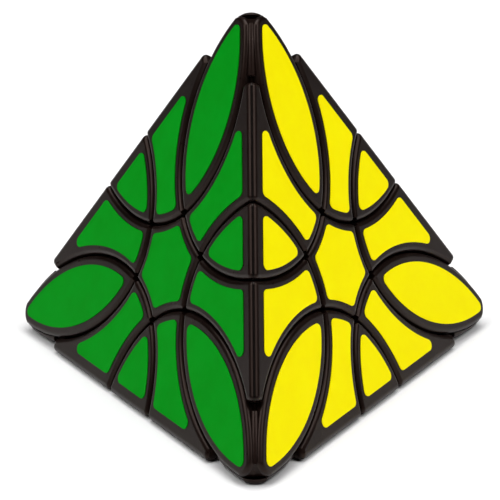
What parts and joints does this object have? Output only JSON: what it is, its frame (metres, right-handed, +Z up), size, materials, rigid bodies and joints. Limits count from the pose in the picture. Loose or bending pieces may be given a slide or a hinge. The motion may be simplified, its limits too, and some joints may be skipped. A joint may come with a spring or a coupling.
{
  "type": "pyramid twisty puzzle",
  "caption": "Pyramid-shaped twisty puzzle: a tetrahedron of curved petal, clover, edge and centre pieces that turn in round caps on hidden screws.",
  "frame": {"origin": "centre of the bottom face, on the surface that the puzzle rests on", "axes": "+Z up to the top corner, -Y to the front corner, -X to the left corner, +X to the right corner"},
  "size_m": [0.0968, 0.0851, 0.0796],
  "materials": {
    "black_plastic": "satin moulded",
    "core_plastic": "matte moulded",
    "steel": "zinc plated",
    "sticker_green": "semi-gloss vinyl",
    "sticker_yellow": "semi-gloss vinyl",
    "sticker_red": "semi-gloss vinyl",
    "sticker_blue": "semi-gloss vinyl"
  },
  "bodies": {
    "fixed_body": {"axis_screws": "steel", "centre_blue": "black_plastic", "centre_green": "black_plastic", "centre_red": "black_plastic", "centre_yellow": "black_plastic", "clover_covers_fixed": "black_plastic", "clover_front_right": "black_plastic", "clover_front_top": "black_plastic", "clover_left_front": "black_plastic", "clover_left_top": "black_plastic", "clover_right_front": "black_plastic", "clover_right_left": "black_plastic", "clover_top_left": "black_plastic", "clover_top_right": "black_plastic", "core": "core_plastic", "edge_front_right": "black_plastic", "edge_top_left": "black_plastic", "petal_blue_right": "black_plastic", "petal_green_left": "black_plastic", "petal_red_top": "black_plastic", "petal_yellow_front": "black_plastic", "stickers_blue_fixed": "sticker_blue", "stickers_green_fixed": "sticker_green", "stickers_red_fixed": "sticker_red", "stickers_yellow_fixed": "sticker_yellow", "tension_springs": "steel", "washers": "steel"},
    "cap_top": {"clover_cover_top_front": "black_plastic", "clover_top_front": "black_plastic", "corner_top": "black_plastic", "edge_top_front": "black_plastic", "petal_green_top": "black_plastic", "petal_yellow_top": "black_plastic", "stickers_green_cap_top": "sticker_green", "stickers_yellow_cap_top": "sticker_yellow"},
    "cap_front": {"clover_cover_front_left": "black_plastic", "clover_front_left": "black_plastic", "corner_front": "black_plastic", "edge_front_left": "black_plastic", "petal_blue_front": "black_plastic", "petal_green_front": "black_plastic", "stickers_blue_cap_front": "sticker_blue", "stickers_green_cap_front": "sticker_green"},
    "cap_left": {"clover_cover_left_right": "black_plastic", "clover_left_right": "black_plastic", "corner_left": "black_plastic", "edge_left_right": "black_plastic", "petal_blue_left": "black_plastic", "petal_red_left": "black_plastic", "stickers_blue_cap_left": "sticker_blue", "stickers_red_cap_left": "sticker_red"},
    "cap_right": {"clover_cover_right_top": "black_plastic", "clover_right_top": "black_plastic", "corner_right": "black_plastic", "edge_top_right": "black_plastic", "petal_red_right": "black_plastic", "petal_yellow_right": "black_plastic", "stickers_red_cap_right": "sticker_red", "stickers_yellow_cap_right": "sticker_yellow"}
  },
  "joints": [
    {"name": "top_cap_turn", "type": "hinge", "parent": "fixed_body", "child": "cap_top", "pos_m": [0, 0, 0.02179], "axis": [0, -0.4924, 0.8704], "continuous": true},
    {"name": "front_cap_turn", "type": "hinge", "parent": "fixed_body", "child": "cap_front", "pos_m": [0, 0, 0.02179], "axis": [-0.4264, -0.7385, -0.5222], "continuous": true},
    {"name": "left_cap_turn", "type": "hinge", "parent": "fixed_body", "child": "cap_left", "pos_m": [0, 0, 0.02179], "axis": [-0.4264, 0.7385, -0.5222], "continuous": true},
    {"name": "right_cap_turn", "type": "hinge", "parent": "fixed_body", "child": "cap_right", "pos_m": [0, 0, 0.02179], "axis": [0.8528, 0.4924, 0.1741], "continuous": true}
  ]
}
